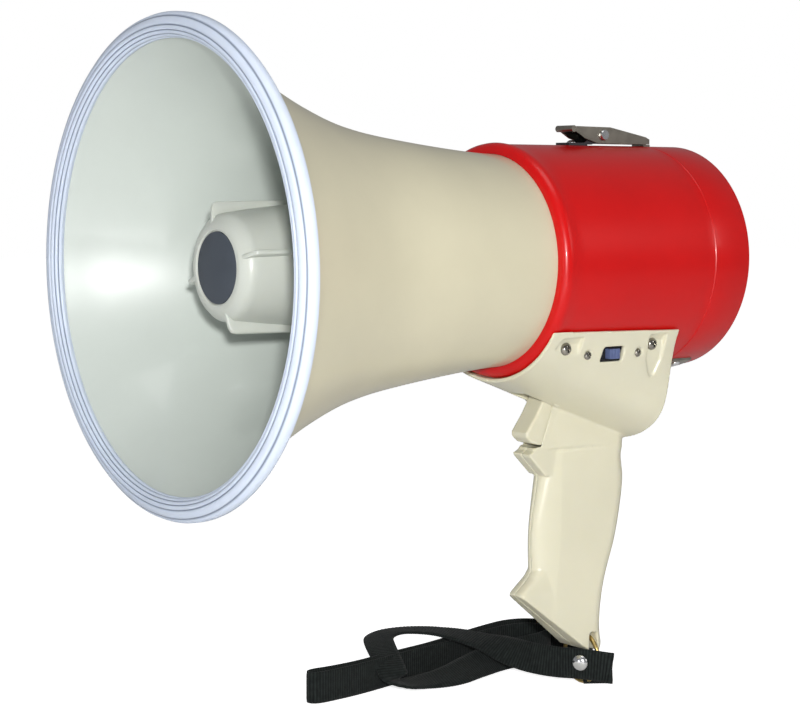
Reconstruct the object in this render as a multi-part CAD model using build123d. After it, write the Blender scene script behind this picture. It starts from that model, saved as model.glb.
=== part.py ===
from build123d import *
from math import atan2, cos, degrees, pi, sin, sqrt, tan
import os

# Handheld megaphone. Everything is drawn in the horn's own frame: X runs forward along the horn
# axis with X = 0 at the mouth, Y is the user's left and Z is up. HOME then moves each piece so
# that the origin is the middle of the grip, where the hand holds the megaphone.

GRIP_CENTRE_X = -248.0
GRIP_CENTRE_Z = -140.0
HOME = Pos(-GRIP_CENTRE_X, 0, -GRIP_CENTRE_Z)

# Bell, rim trim and reflector
RIM_R = 115.0
BELL_WALL = 2.0
BELL_OUTLINE = [(-1.5, 107.2), (-6, 104.2), (-22, 94.6), (-46, 82.4), (-80, 68.9), (-110, 62.4), (-150, 57.0),
                (-186, 54.0)]
BELL_BASE_X = -200.0
NECK_R = 53.9
CUP_FRONT_X = -26.0
CUP_REAR_X = -118.0
CUP_R = 25.1
CUP_REAR_R = 33.0
CUP_WALL = 2.0
CUP_TURN = 15.0
FIN_THICK = 2.4
DISC_R = 16.8
TONE_ARM_R = 9.5

# Barrel and rear cap
BARREL_R = 59.2
BARREL_WALL = 2.6
BARREL_FRONT_X = -187.3
SEAM_X = -291.5
CAP_GAP = 0.3
CAP_REAR_X = -317.0
HINGE_X = -291.6
HINGE_Z = -62.2
HINGE_HALF = 12.0
KNUCKLE_R = 2.3
PIN_R = 1.2
CAP_LEAF_HALF = 26.0
CAP_RIVET_Y = 22.0
RUN_CLEARANCE = 0.05

# Handle
SHELL_WALL = 2.4
SADDLE_FRONT_X = -188.5
SADDLE_REAR_X = -276.0
SADDLE_BORE_R = BARREL_R + 0.1
TRIGGER_HALF = 6.6
TRIGGER_PIVOT = (-227.0, -72.0)
CORD_HOLE = (-253.0, -200.3)
CORD_HOLE_R = 2.6
LUG_HALF = 3.5
SCREW_SEAT_Y = 45.0
RECESS_SKIN_R = 60.3
LARGE_SCREWS = [(-201.0, -42.5), (-260.0, -42.5)]
SMALL_SCREWS = [(-215.2, -46.3), (-249.7, -46.5)]
SMALL_SEAT_Y = 45.6
SWITCH_X = -231.9
SWITCH_Z = -46.3

# Strap
STRAP_WIDTH = 16.0
STRAP_THICK = 1.6
RING_R = 13.2
RING_WIRE = 1.1
RING_CENTRE = (-253.0, 2.5, -212.6)


def turned(outline):
    """Solid of revolution about the horn axis; outline is a closed line in (x, radius)."""
    return revolve(Plane.XZ * make_face(outline), Axis.X)


def ring(x_front, x_rear, r_in, r_out):
    """Tube or washer on the horn axis."""
    length = abs(x_front - x_rear)
    middle = (x_front + x_rear) / 2
    body = Cylinder(r_out, length, rotation=(0, 90, 0))
    if r_in > 0:
        body -= Cylinder(r_in, length + 2, rotation=(0, 90, 0))
    return Pos(middle, 0, 0) * body


def rod_y(x, z, radius, y_from, y_to):
    """Round rod across the megaphone, along Y."""
    length = y_to - y_from
    return Pos(x, (y_from + y_to) / 2, z) * Cylinder(radius, length, rotation=(90, 0, 0))


def block(x0, x1, y0, y1, z0, z1):
    """Box between two corners."""
    return Pos((x0 + x1) / 2, (y0 + y1) / 2, (z0 + z1) / 2) * Box(x1 - x0, y1 - y0, z1 - z0)


def slab(points, y0, y1):
    """Side outline in (x, z), from y0 to y1."""
    face = make_face(Plane.XZ * Polyline(*points, close=True))
    return Pos(0, y1, 0) * extrude(face, y1 - y0, dir=(0, -1, 0))


def save(name, shape):
    os.makedirs("parts", exist_ok=True)
    export_step(HOME * shape, "parts/" + name + ".step")


# ---------------------------------------------------------------- bell and its rim

def bell_horn():
    outer = Spline(*BELL_OUTLINE)
    inner_points = [(x, r - BELL_WALL) for x, r in BELL_OUTLINE]
    inner = Spline(*inner_points)
    rear_r = BELL_OUTLINE[-1][1]
    base_front = BELL_BASE_X + 3.0
    bowl = RadiusArc(inner @ 1, (base_front, rear_r - BELL_WALL - 11), 11)
    closing = Polyline(bowl @ 1, (base_front, TONE_ARM_R + 0.1), (BELL_BASE_X, TONE_ARM_R + 0.1),
                       (BELL_BASE_X, rear_r), outer @ 1)
    mouth = Line(inner @ 0, outer @ 0)
    return turned(Curve() + [mouth, outer, closing, bowl, inner])


def rim_trim(bell):
    """Soft ribbed channel pushed over the edge of the bell."""
    crests = [(-2.9, 103.8), (1.2, 104.6), (3.2, 106.4), (3.2, 108.9), (1.6, 112.2), (-0.6, 114.6)]
    ribs = []
    for start, end in zip(crests[:-1], crests[1:]):
        run = Vector(end[0] - start[0], end[1] - start[1]).normalized()
        middle_x = (start[0] + end[0]) / 2 + run.Y * 0.4
        middle_r = (start[1] + end[1]) / 2 - run.X * 0.4
        if start[0] == end[0]:
            ribs.append(Line(start, end))
        else:
            ribs.append(ThreePointArc(start, (middle_x, middle_r), end))
    back = Polyline(crests[-1], (-1.4, RIM_R), (-3.6, RIM_R), (-4.8, 113.6), (-4.8, 108.0), (-7.2, 105.4),
                    (-6.6, 103.2), (-4.6, 103.3), crests[0])
    return turned(Curve() + ribs + [back]) - bell - bell_inside()


def bell_inside():
    """The air inside the bell, up to its inner face."""
    points = [(x, r - BELL_WALL) for x, r in BELL_OUTLINE[1:]]
    return turned(Polyline((-3.0, 103.8), *points, (points[-1][0], 0), (-3.0, 0), close=True))


def reflector_cup():
    front = CUP_FRONT_X
    shell = turned(Polyline(
        (front - 1.0, 0), (front - 1.0, DISC_R + 0.2), (front, DISC_R + 0.6), (front - 0.3, 20.2),
        (front - 1.6, 22.6), (front - 4.2, CUP_R), (-61, 28.6), (CUP_REAR_X, CUP_REAR_R),
        (CUP_REAR_X, CUP_REAR_R - CUP_WALL), (-61, 28.6 - CUP_WALL), (front - 7.5, CUP_R - CUP_WALL),
        (front - 5.0, 20.0), (front - 3.6, 0), close=True))
    fin_outline = [(front - 0.4, 19.8), (front - 2.8, 31.0), (-70, 32.0), (CUP_REAR_X + 8, 37.5),
                   (-134, 57.0), (-142, 57.0), (-142, 50.0), (CUP_REAR_X, CUP_REAR_R - 1),
                   (-61, 27.6), (front - 6, CUP_R - 1), (front - 2.6, 20.0)]
    fin = slab(fin_outline, -FIN_THICK / 2, FIN_THICK / 2)
    for turn in (0, 90, 180, 270):
        shell += Rot(CUP_TURN + turn, 0, 0) * fin
    return shell


def reflector_inside_bell(cup, bell):
    envelope = turned(Polyline(*[(x, r - BELL_WALL - 0.05) for x, r in BELL_OUTLINE],
                               (BELL_OUTLINE[-1][0], 0), (BELL_OUTLINE[0][0], 0), close=True))
    return (cup & envelope) - bell


def boss_disc():
    return ring(CUP_FRONT_X - 0.2, CUP_FRONT_X - 1.2, 0, DISC_R)


def tone_arm():
    return turned(Polyline(
        (-48, 15.6), (-48, 14.2), (-120, 9.6), (-197, 7.6), (-202.8, 7.6), (-202.8, 22),
        (BELL_BASE_X - 0.2, 22), (BELL_BASE_X - 0.2, TONE_ARM_R), (-196, TONE_ARM_R), (-120, 11.2), close=True))


# ---------------------------------------------------------------- compression driver

def driver_housing():
    shell = turned(Polyline(
        (-203.0, 22.4), (-203.0, 40), (-206, 41.5), (-238, 41.5), (-240, 39.5), (-240, 0),
        (-237.8, 0), (-237.8, 39.2), (-206, 39.2), (-206, 22.4), close=True))
    return shell


def driver_diaphragm():
    outline = Polyline((-206.2, 0), (-206.2, 8), (-209, 17), (-209, 30), (-209.5, 30), (-209.5, 16.6),
                       (-206.8, 7.6), (-206.8, 0), close=True)
    return turned(outline)


def driver_magnet():
    return ring(-216.6, -228.0, 14, 34)


def driver_yoke():
    return turned(Polyline((-234, 0), (-234, 34), (-228.2, 34), (-228.2, 12.4), (-212, 12.4), (-212, 0),
                           close=True))


def driver_top_plate():
    return turned(Polyline((-216.4, 13.4), (-216.4, 38.8), (-209.7, 38.8), (-209.7, 18), (-212, 18),
                           (-212, 13.4), close=True))


# ---------------------------------------------------------------- barrel, cap, hinge, latch

def barrel():
    inside = BARREL_R - BARREL_WALL
    lip = ThreePointArc((BARREL_FRONT_X, NECK_R + 0.35), (BARREL_FRONT_X - 1.4, 58.4), (BARREL_FRONT_X - 4.6, 59.7))
    hollow = ThreePointArc(lip @ 1, (BARREL_FRONT_X - 8.2, 59.25), (BARREL_FRONT_X - 12, BARREL_R))
    body = Polyline(hollow @ 1, (SEAM_X, BARREL_R), (SEAM_X, inside), (BELL_BASE_X - 2, inside),
                    (BELL_BASE_X - 2, NECK_R + 0.35), lip @ 0)
    shell = turned(Curve() + [lip, hollow, body])
    shell -= block(-262, -222, -12, 12, -70, -50)
    for x, z in LARGE_SCREWS:
        shell -= rod_y(x, z, 1.5, -60, 60)
    shell -= Pos(LATCH_FOOT_X, 0, BARREL_R) * Cylinder(1.5, 10)
    for y in FIXED_RIVET_Y:
        shell -= Pos(FIXED_RIVET_X, y, -BARREL_R) * Cylinder(1.2, 10)
    return shell


def rear_cap():
    outside = BARREL_R
    inside = BARREL_R - 2.4
    front = SEAM_X - CAP_GAP
    body = turned(Polyline(
        (front, inside), (front, outside - 0.5), (front - 0.5, outside), (CAP_REAR_X + 0.5, outside),
        (CAP_REAR_X, outside - 0.5), (CAP_REAR_X, 27.5), (CAP_REAR_X - 4, 25.5), (CAP_REAR_X - 4, 23.5),
        (CAP_REAR_X + 1.2, 21.5), (CAP_REAR_X + 1.2, 0), (CAP_REAR_X + 3.2, 0), (CAP_REAR_X + 3.2, 23),
        (CAP_REAR_X + 2.4, 29.5), (CAP_REAR_X + 2.4, inside), close=True))
    for angle, radius in mic_holes():
        body -= Rot(angle, 0, 0) * Pos(CAP_REAR_X + 2, 0, radius) * Cylinder(1.3, 8, rotation=(0, 90, 0))
    body -= Pos(CAP_REAR_X, 0, -40) * Cylinder(3.2, 10, rotation=(0, 90, 0))
    for side in (1, -1):
        body -= cap_rivet_frame(side) * Cylinder(1.3, 10)
    body -= Pos(CATCH_X, 0, BARREL_R) * Cylinder(1.0, 10)
    return body


def mic_holes():
    """Sound holes in the middle of the cap: angle and radius of each."""
    holes = [(0, 0.0)]
    for count, radius in ((6, 5.5), (12, 11.0), (18, 16.5)):
        for i in range(count):
            holes.append((i * 360 / count, radius))
    return holes


def cap_gasket():
    """Rubber ring in the cap mouth that seals against the barrel."""
    return ring(SEAM_X - 1.2, SEAM_X - 3.0, BARREL_R - 4.6, BARREL_R - 2.5)


FIXED_RIVET_X = -283.0
FIXED_RIVET_Y = (-6.0, 6.0)
CAP_RIVET_X = -300.0


def cap_rivet_frame(side):
    """Frame at a rivet of the cap leaf, local Z pointing out of the cap."""
    angle = degrees(atan2(CAP_RIVET_Y, sqrt(BARREL_R ** 2 - CAP_RIVET_Y ** 2)))
    return Pos(CAP_RIVET_X, 0, 0) * Rot(180 + side * angle, 0, 0) * Pos(0, 0, BARREL_R)


def curved_leaf(x0, x1, half):
    """Piece of tube wall under the barrel, as wide as 2 * half."""
    wall = ring(x0, x1, BARREL_R + 0.05, BARREL_R + 1.25)
    return wall & block(min(x0, x1) - 1, max(x0, x1) + 1, -half, half, -80, -40)


def knuckle(y0, y1):
    body = rod_y(HINGE_X, HINGE_Z, KNUCKLE_R, y0, y1)
    return body - rod_y(HINGE_X, HINGE_Z, PIN_R + RUN_CLEARANCE, y0 - 1, y1 + 1)


def hinge_leaf_fixed():
    leaf = curved_leaf(-278.0, HINGE_X + 3.4, HINGE_HALF)
    tongue = block(HINGE_X, HINGE_X + 4.2, -4, 4, HINGE_Z - 0.2, HINGE_Z + 4)
    tongue -= ring(-200, -400, 0, BARREL_R + 0.05)
    tongue -= rod_y(HINGE_X, HINGE_Z, PIN_R + 0.3, -20, 20)
    body = leaf + tongue + knuckle(-4, 4)
    for y in FIXED_RIVET_Y:
        body -= Pos(FIXED_RIVET_X, y, -BARREL_R) * Cylinder(1.25, 8)
    return body


def hinge_leaf_cap():
    leaf = curved_leaf(HINGE_X - 3.4, -308.5, CAP_LEAF_HALF)
    body = leaf
    for side in (1, -1):
        y0, y1 = sorted((side * 4.3, side * HINGE_HALF))
        arm = block(HINGE_X - 4.4, HINGE_X, y0, y1, HINGE_Z - 0.2, HINGE_Z + 4)
        arm -= rod_y(HINGE_X, HINGE_Z, PIN_R + 0.3, -20, 20)
        body += arm - ring(-200, -400, 0, BARREL_R + 0.05)
        body += knuckle(y0, y1)
        body -= cap_rivet_frame(side) * Cylinder(1.35, 8)
    return body


def rivet(shank_r, head_r, below, above):
    """Dome-head rivet along local Z; the head sits at height above."""
    dome = Pos(0, 0, above) * scale(Sphere(head_r), by=(1, 1, 0.55))
    dome &= Pos(0, 0, above + head_r) * Box(4 * head_r, 4 * head_r, 2 * head_r)
    return Pos(0, 0, (above - below) / 2) * Cylinder(shank_r, above + below) + dome


def hinge_rivets_fixed():
    body = Part()
    for y in FIXED_RIVET_Y:
        body += Pos(FIXED_RIVET_X, y, -BARREL_R + 0.2) * Rot(180, 0, 0) * rivet(1.2, 2.2, 3.6, 1.5)
    return body


def hinge_rivets_cap():
    body = Part()
    for side in (1, -1):
        body += cap_rivet_frame(side) * rivet(1.3, 2.6, 3.4, 1.3)
    return body


def hinge_pin():
    pin = rod_y(HINGE_X, HINGE_Z, PIN_R, -HINGE_HALF - 0.8, HINGE_HALF + 0.8)
    for side in (1, -1):
        y0, y1 = sorted((side * (HINGE_HALF + 0.2), side * (HINGE_HALF + 1.2)))
        pin += rod_y(HINGE_X, HINGE_Z, 1.8, y0, y1)
    return pin


LATCH_FOOT_X = -244.5
CATCH_X = -293.4
LATCH_PIVOT = (-261.0, 64.6)


def latch_bracket():
    """Sheet-steel foot riveted to the barrel top, with two ears for the lever's rivet."""
    foot = block(-251, -238, -5.1, 5.1, BARREL_R - 0.6, BARREL_R + 1.2)
    foot -= ring(-200, -300, 0, BARREL_R + 0.02)
    body = foot
    for y0, y1 in ((3.9, 5.1), (-5.1, -3.9)):
        body += slab([(-247, BARREL_R + 0.3), (-254, BARREL_R + 0.3), (-264, 62.6), (-264, 66.4),
                      (-259.5, 66.9), (-257.4, 65.6)], y0, y1)
    body += slab([(-248.4, BARREL_R + 0.2), (-250.4, BARREL_R + 0.2), (-258.0, 65.0), (-257.0, 65.8)], -4.5, 4.5)
    body -= rod_y(LATCH_PIVOT[0], LATCH_PIVOT[1], 1.5 + RUN_CLEARANCE, -10, 10)
    body -= Pos(LATCH_FOOT_X, 0, BARREL_R) * Cylinder(1.55, 12)
    return body


def latch_foot_rivet():
    return Pos(LATCH_FOOT_X, 0, BARREL_R) * rivet(1.5, 2.6, 3.0, 1.22)


def latch_lever():
    """Rocking channel: rolled thumb tip in front, side flanges, open at the rear over the catch."""
    x0, z0 = LATCH_PIVOT
    flange = [(-240.5, 67.0), (-248, 62.8), (-256, 60.6), (-262, 60.2), (-294.6, 60.2), (-294.6, 62.6),
              (-291.8, 63.9), (-266, 68.6), (-243, 68.8)]
    body = Part()
    for y0, y1 in ((5.4, 6.4), (-6.4, -5.4)):
        body += slab(flange, y0, y1)
    top = [(-240.5, 68.0), (-243, 68.9), (-266, 68.7), (-291.8, 64.0), (-294.7, 62.7), (-294.4, 61.8),
           (-291.8, 63.0), (-266, 67.7), (-243, 67.9)]
    body += slab(top, -6.4, 6.4)
    body += rod_y(-240.4, 67.6, 1.7, -6.4, 6.4)
    body -= rod_y(x0, z0, 1.5 + RUN_CLEARANCE, -10, 10)
    return body


def latch_catch():
    """Low steel ridge on the cap that the lever's flanges and web close over."""
    plate = block(CATCH_X - 3.4, CATCH_X + 1.4, -4.4, 4.4, BARREL_R - 0.6, BARREL_R + 0.9)
    plate -= ring(-200, -400, 0, BARREL_R + 0.02)
    ridge = slab([(CATCH_X + 1.4, BARREL_R + 0.5), (CATCH_X + 1.4, BARREL_R + 1.9), (CATCH_X + 0.6, BARREL_R + 1.9),
                  (CATCH_X - 1.2, BARREL_R + 0.5)], -4.4, 4.4)
    stud = Pos(CATCH_X, 0, BARREL_R - 0.8) * Cylinder(0.95, 2.8)
    return plate + ridge + stud


def latch_rivet():
    x0, z0 = LATCH_PIVOT
    pin = rod_y(x0, z0, 1.5, -6.5, 6.5)
    for side in (1, -1):
        dome = Pos(x0, side * 6.5, z0) * Sphere(2.9)
        y0, y1 = sorted((side * 6.5, side * 8.1))
        pin += dome & block(x0 - 4, x0 + 4, y0, y1, z0 - 4, z0 + 4)
    return pin


def latch_spring():
    """Flat leaf under the lever that keeps its rear end down."""
    return slab([(-266.0, 60.3), (-274, 62.0), (-284, 63.4), (-284, 63.8), (-274, 62.4), (-265.8, 60.7),
                 (-264.0, 60.7), (-264.0, 60.3)], -3, 3)


# ---------------------------------------------------------------- rear electronics and battery

def microphone_capsule():
    return ring(CAP_REAR_X + 3.4, CAP_REAR_X + 12, 0, 19)


def microphone_holder():
    outer = ring(CAP_REAR_X + 3.3, CAP_REAR_X + 10, 19.1, 22.5)
    return outer


def volume_control():
    body = ring(CAP_REAR_X + 2.6, CAP_REAR_X + 9.6, 0, 8)
    shaft = ring(CAP_REAR_X + 2.7, CAP_REAR_X - 7, 0, 3.0)
    return Pos(0, 0, -40) * (body + shaft)


def volume_knob():
    knob = ring(CAP_REAR_X - 0.6, CAP_REAR_X - 10.5, 0, 9.5)
    knob = chamfer(knob.faces().sort_by(Axis.X)[0].edges(), 0.8)
    for i in range(18):
        flute = Rot(i * 20, 0, 0) * Pos(CAP_REAR_X - 7, 0, 9.9) * Cylinder(0.8, 12, rotation=(0, 90, 0))
        knob -= flute
    knob -= ring(CAP_REAR_X + 1, CAP_REAR_X - 7.3, 0, 3.05)
    knob -= Pos(CAP_REAR_X - 10.5, 0, 6.2) * Box(1.0, 1.2, 5)
    return Pos(0, 0, -40) * knob


CELL_R = 13.1
CELL_CIRCLE_R = 38.5
CELL_FRONT_X = -249.5
CELL_LENGTH = 50.0


def cell_places():
    return [Rot(60 * i + 30, 0, 0) * Pos(0, 0, CELL_CIRCLE_R) for i in range(6)]


def battery_cells():
    cells = Part()
    for place in cell_places():
        can = ring(CELL_FRONT_X - 1.6, CELL_FRONT_X - CELL_LENGTH, 0, CELL_R)
        button = ring(CELL_FRONT_X, CELL_FRONT_X - 1.8, 0, 3.4)
        cells += place * (can + button)
    return cells


def battery_holder():
    tray = ring(-245.4, -289, 19, 54.6)
    tray -= ring(-247.6, -290, 20.5, 53.0)
    for place in cell_places():
        well = ring(-247.5, -289, CELL_R + 0.3, CELL_R + 1.1)
        tray += place * well
    for place in cell_places():
        tray -= place * ring(-247.8, -292, 0, CELL_R + 0.3)
    return (tray & ring(-240, -300, 0, 55)) - ring(-240, -300, 0, 19)


def battery_contacts():
    strips = Part()
    for place in cell_places():
        strips += place * ring(-247.7, -249.3, 0, 4.5)
    return strips


def cap_contact_plate():
    plate = ring(-302.4, -304.0, 24, 52)
    for place in cell_places():
        plate += place * ring(-300.4, -302.5, 0, 5)
    for i in range(3):
        plate += Rot(120 * i, 0, 0) * Pos(0, 0, 38) * ring(-303.9, CAP_REAR_X + 2.5, 0, 2.6)
    return plate


# ---------------------------------------------------------------- handle

def saddle_section(x, half_points):
    right = [(y, z) for y, z in half_points]
    left = [(-y, z) for y, z in reversed(half_points[:-1])]
    low = Spline(*(right + left))
    top = Line(left[-1], right[0])
    return Pos(x, 0, 0) * (Plane.YZ * make_face(Curve() + [low, top]))


def saddle_body():
    front = [(50.5, -33.5), (43.8, -43.5), (27.5, -55.5),
             (12.0, -60.6), (0, -61.8)]
    middle = [(50.3, -34.5), (44.5, -51.5), (33.5, -67.5), (15.0, -76.5),
              (0, -78.5)]
    rear = [(49.8, -35.5), (43.2, -60), (37.0, -80.5), (19.0, -93.5),
            (0, -96.5)]
    sections = [saddle_section(SADDLE_FRONT_X, front), saddle_section(-232, middle),
                saddle_section(SADDLE_REAR_X, rear)]
    return loft(sections)


def grip_section(z, front, crease, crease_half, rear, rear_half, inset=0.0):
    """Level slice of the grip: oval front, flat sides that widen to the rear, round rear corners."""
    front -= inset
    rear += inset
    crease_half -= inset
    rear_half -= inset
    turn = rear_half * 0.55
    lean = (rear_half - crease_half) / (crease - rear)
    corner_x = rear + turn
    corner_y = crease_half + lean * (crease - corner_x)
    nose = Spline((crease, crease_half), (front, 0), (crease, -crease_half),
                  tangents=[(1, -lean - 0.15), (-1, -lean - 0.15)])
    left = Line((corner_x, corner_y), (crease, crease_half))
    right = Line((crease, -crease_half), (corner_x, -corner_y))
    heel_right = ThreePointArc((corner_x, -corner_y), (rear + turn * 0.24, -corner_y + turn * 0.36),
                               (rear, -corner_y + turn * 1.2))
    heel_left = ThreePointArc((rear, corner_y - turn * 1.2), (rear + turn * 0.24, corner_y - turn * 0.36),
                              (corner_x, corner_y))
    back = Line((rear, -corner_y + turn * 1.2), (rear, corner_y - turn * 1.2))
    return Pos(0, 0, z) * make_face(Curve() + [nose, right, heel_right, back, heel_left, left])


GRIP_SLICES = [
    (-100, -224.0, -234.0, 8.6, -275.8, 13.4),
    (-113, -222.6, -232.4, 8.8, -275.8, 13.4),
    (-126, -220.2, -232.2, 9.0, -275.2, 13.4),
    (-139, -218.2, -232.0, 9.0, -273.0, 13.4),
    (-152, -217.8, -231.4, 9.0, -269.8, 13.4),
    (-165, -218.6, -230.0, 8.8, -265.4, 13.2),
    (-178, -219.0, -229.0, 8.8, -262.2, 13.2),
    (-191, -219.4, -229.0, 8.8, -260.8, 13.2),
    (-204, -219.8, -229.0, 8.8, -262.0, 13.2),
    (-217, -220.2, -229.0, 8.8, -264.6, 13.2),
]
TOE_SLICES = [
    (-160, -220.0, -226.0, 6.4, -240.0, 8.0),
    (-166, -216.6, -221.0, 6.4, -240.0, 9.0),
    (-173.5, -207.8, -211.5, 6.4, -240.0, 9.6),
    (-180, -204.0, -208.0, 6.4, -240.0, 9.8),
    (-196, -203.6, -208.0, 6.4, -240.0, 9.8),
]
NECK_SLICES = [
    (-60, -229.0, -230.0, 7.4, -275.6, 13.4),
    (-74, -226.0, -227.0, 7.2, -275.6, 13.4),
    (-98, -215.0, -216.3, 7.0, -275.6, 13.4),
]
HEEL_CUT = [(-190, -161.2), (-249.8, -207.2), (-253, -208.2), (-257, -207.8), (-259.4, -205), (-300, -190),
            (-300, -260), (-190, -260)]


def grip_body():
    grip = loft([grip_section(*values) for values in GRIP_SLICES])
    neck = loft([grip_section(*values) for values in NECK_SLICES], ruled=True)
    toe = loft([grip_section(*values) for values in TOE_SLICES], ruled=True)
    ledge = slab([(-216.3, -97.9), (-211.4, -100.4), (-211.6, -101.6), (-222.6, -112.4), (-236, -112.4),
                  (-236, -97.9)], -6.9, 6.9)
    bridge = Pos(0, 0, -100.2) * extrude(grip_section(0, -231, -233, 7.6, -275.6, 13.4), 2.4)
    body = grip + neck + toe + ledge + bridge
    return body - slab(HEEL_CUT, -30, 30)


def handle_solid():
    return saddle_body() + grip_body()


def handle_cavity():
    """The hollow inside both mouldings."""
    wall = SHELL_WALL
    slices = [(z, f, c, ch, r, rh) for z, f, c, ch, r, rh in GRIP_SLICES if -180 < z]
    lower = loft([grip_section(*values, inset=wall) for values in slices])
    upper = loft([grip_section(*values, inset=wall) for values in NECK_SLICES], ruled=True)
    joint = Pos(0, 0, -101) * extrude(grip_section(0, -231, -235, 7.6, -275.6, 13.4, inset=wall), 4)
    front = [(47.0, -33.0), (40.8, -42.5), (25.5, -53.5), (11.0, -57.6), (0, -58.6)]
    middle = [(47.4, -34.5), (41.5, -50.0), (31.0, -64.5), (13.6, -73.4), (0, -75.2)]
    rear = [(46.9, -35.5), (40.4, -59), (34.4, -78.5), (17.6, -90.5), (0, -93.2)]
    saddle = loft([saddle_section(SADDLE_FRONT_X - 22, front), saddle_section(-234, middle),
                   saddle_section(SADDLE_REAR_X + 3, rear)])
    return lower + upper + joint + saddle


def trigger_well():
    """Room inside the handle for the trigger and its travel."""
    return slab([(-200, -70), (-228, -64.5), (-240, -70), (-240, -97.0), (-219, -97.2), (-200, -97.2)],
                -TRIGGER_HALF - 0.35, TRIGGER_HALF + 0.35)


def seat_clear_of_barrel(pocket, x, z):
    """Screw pocket cut back to leave a skin over the barrel, with room round the screw head."""
    pocket -= ring(-150, -330, 0, RECESS_SKIN_R)
    return pocket + rod_y(x, z, 3.6, SCREW_SEAT_Y, 52)


def front_recess():
    outline = [(-191.5, -47.5), (-196.5, -37.2), (-209.5, -36.8), (-209.5, -48.5), (-205, -53.0), (-200, -52.6)]
    return seat_clear_of_barrel(slab(outline, SCREW_SEAT_Y, 70), *LARGE_SCREWS[0])


def rear_recess():
    outline = [(-255.4, -37.4), (-267.6, -37.4), (-267.0, -51), (-263.6, -59.6), (-260.6, -59.6), (-256.4, -51)]
    pocket = seat_clear_of_barrel(slab(outline, SCREW_SEAT_Y, 70), *LARGE_SCREWS[1])
    taper = slab([(-255.8, -46), (-267.3, -46), (-267.0, -51), (-263.6, -59.6), (-260.6, -59.6), (-256.4, -51)],
                 30, 70)
    slope = [(SCREW_SEAT_Y, -46), (43.4, -52.5), (42.0, -59.8), (60, -59.8), (60, -46)]
    floor = extrude(make_face(Plane.YZ * Polyline(*slope, close=True)), 16, dir=(1, 0, 0))
    return pocket + (taper & Pos(-270, 0, 0) * floor)


def ring_slot():
    """Slots in both cheeks of the heel, so that the ring can hang and swing in the lug."""
    x, z = CORD_HOLE
    return slab([(x - 2.6, z + 1.6), (x - 1.4, z + 2.6), (x + 1.4, z + 2.6), (x + 2.6, z + 1.6), (x + 2.6, z - 12),
                 (x - 2.6, z - 12)], LUG_HALF, 30)


def handle_features(body):
    body -= ring(-150, -330, 0, SADDLE_BORE_R)
    body -= ring(-150, -199.5, 0, SADDLE_BORE_R + 0.6)
    body -= block(SWITCH_X - 9.8, SWITCH_X + 9.8, 34, 43.4, SWITCH_Z - 4.6, SWITCH_Z + 3.4)
    body += trigger_bosses()
    body += spring_rib()
    body -= trigger_well()
    x, z = TRIGGER_PIVOT
    body -= rod_y(x, z, 1.5, -9.5, 9.5)
    body -= rod_y(CORD_HOLE[0], CORD_HOLE[1], CORD_HOLE_R, -30, 30)
    window = block(SWITCH_X - 7.1, SWITCH_X + 7.1, 38, 60, SWITCH_Z - 3.8, SWITCH_Z + 3.8)
    body -= window
    for tool in (front_recess(), rear_recess(), ring_slot()):
        body -= tool
        body -= mirror(tool, Plane.XZ)
    for x, z in LARGE_SCREWS:
        body -= rod_y(x, z, 1.65, -60, 60)
    for x, z in SMALL_SCREWS:
        body -= rod_y(x, z, 1.2, 30, 60)
        body -= rod_y(x, z, 2.7, SMALL_SEAT_Y, 60)
    return body - hinge_leaf_room()


def hinge_leaf_room():
    return block(-279, -270, -HINGE_HALF - 0.5, HINGE_HALF + 0.5, -62.4, -50)


def trigger_bosses():
    x, z = TRIGGER_PIVOT
    body = Part()
    for side in (1, -1):
        y0, y1 = sorted((side * 6.9, side * 11.5))
        body += rod_y(x, z, 4.0, y0, y1)
    return body


def handle_halves():
    body = handle_features(handle_solid() - handle_cavity())
    left = body & block(-400, 0, 0, 100, -260, 0)
    right = body & block(-400, 0, -100, 0, -260, 0)
    return left, right


# ---------------------------------------------------------------- trigger and switches

def trigger():
    outline = [(-221.0, -72.5), (-216.0, -80.6), (-209.6, -89.0), (-209.9, -91.6), (-213.4, -94.6), (-219, -96.0),
               (-233.5, -95.0), (-233.5, -76), (-231.2, -70.6), (-227, -67.8), (-222.8, -69.2)]
    body = slab(outline, -TRIGGER_HALF, TRIGGER_HALF)
    front = [e for e in body.edges() if abs(abs(e.center().Y) - TRIGGER_HALF) < 0.01 and e.center().X > -215]
    body = fillet(front, 1.2)
    body -= rod_y(TRIGGER_PIVOT[0], TRIGGER_PIVOT[1], 1.5 + RUN_CLEARANCE, -20, 20)
    body -= Pos(-231, 0, -87) * Cylinder(2.9, 8, rotation=(0, 90, 0))
    return body


def trigger_pin():
    return rod_y(TRIGGER_PIVOT[0], TRIGGER_PIVOT[1], 1.5, -9.4, 9.4)


def trigger_spring():
    helix = Helix(pitch=2.2, height=8.8, radius=2.1)
    profile = (Plane(origin=helix @ 0, z_dir=helix % 0) * Circle(0.35))
    coil = sweep(profile, helix)
    return Pos(-237.2, 0, -87) * Rot(0, 90, 0) * coil


def spring_rib():
    """Rib across the grip that backs the trigger spring and carries the push switch."""
    rib = block(-240.6, -238.2, -7.0, 7.0, -96.5, -78.5)
    return rib - block(-241, -237, -1.4, 1.4, -95.0, -93.0)


def trigger_switch():
    body = block(-250.6, -240.7, -3.2, 3.2, -97, -91.4)
    button = block(-240.7, -237.9, -1.2, 1.2, -94.8, -93.2)
    return body + button


def slide_switch_body():
    case = block(SWITCH_X - 9.5, SWITCH_X + 9.5, 41.0, 43.2, SWITCH_Z - 4.4, SWITCH_Z + 3.2)
    case -= block(SWITCH_X - 6.4, SWITCH_X + 6.4, 41.6, 50, SWITCH_Z - 2.9, SWITCH_Z + 2.6)
    return case


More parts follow.
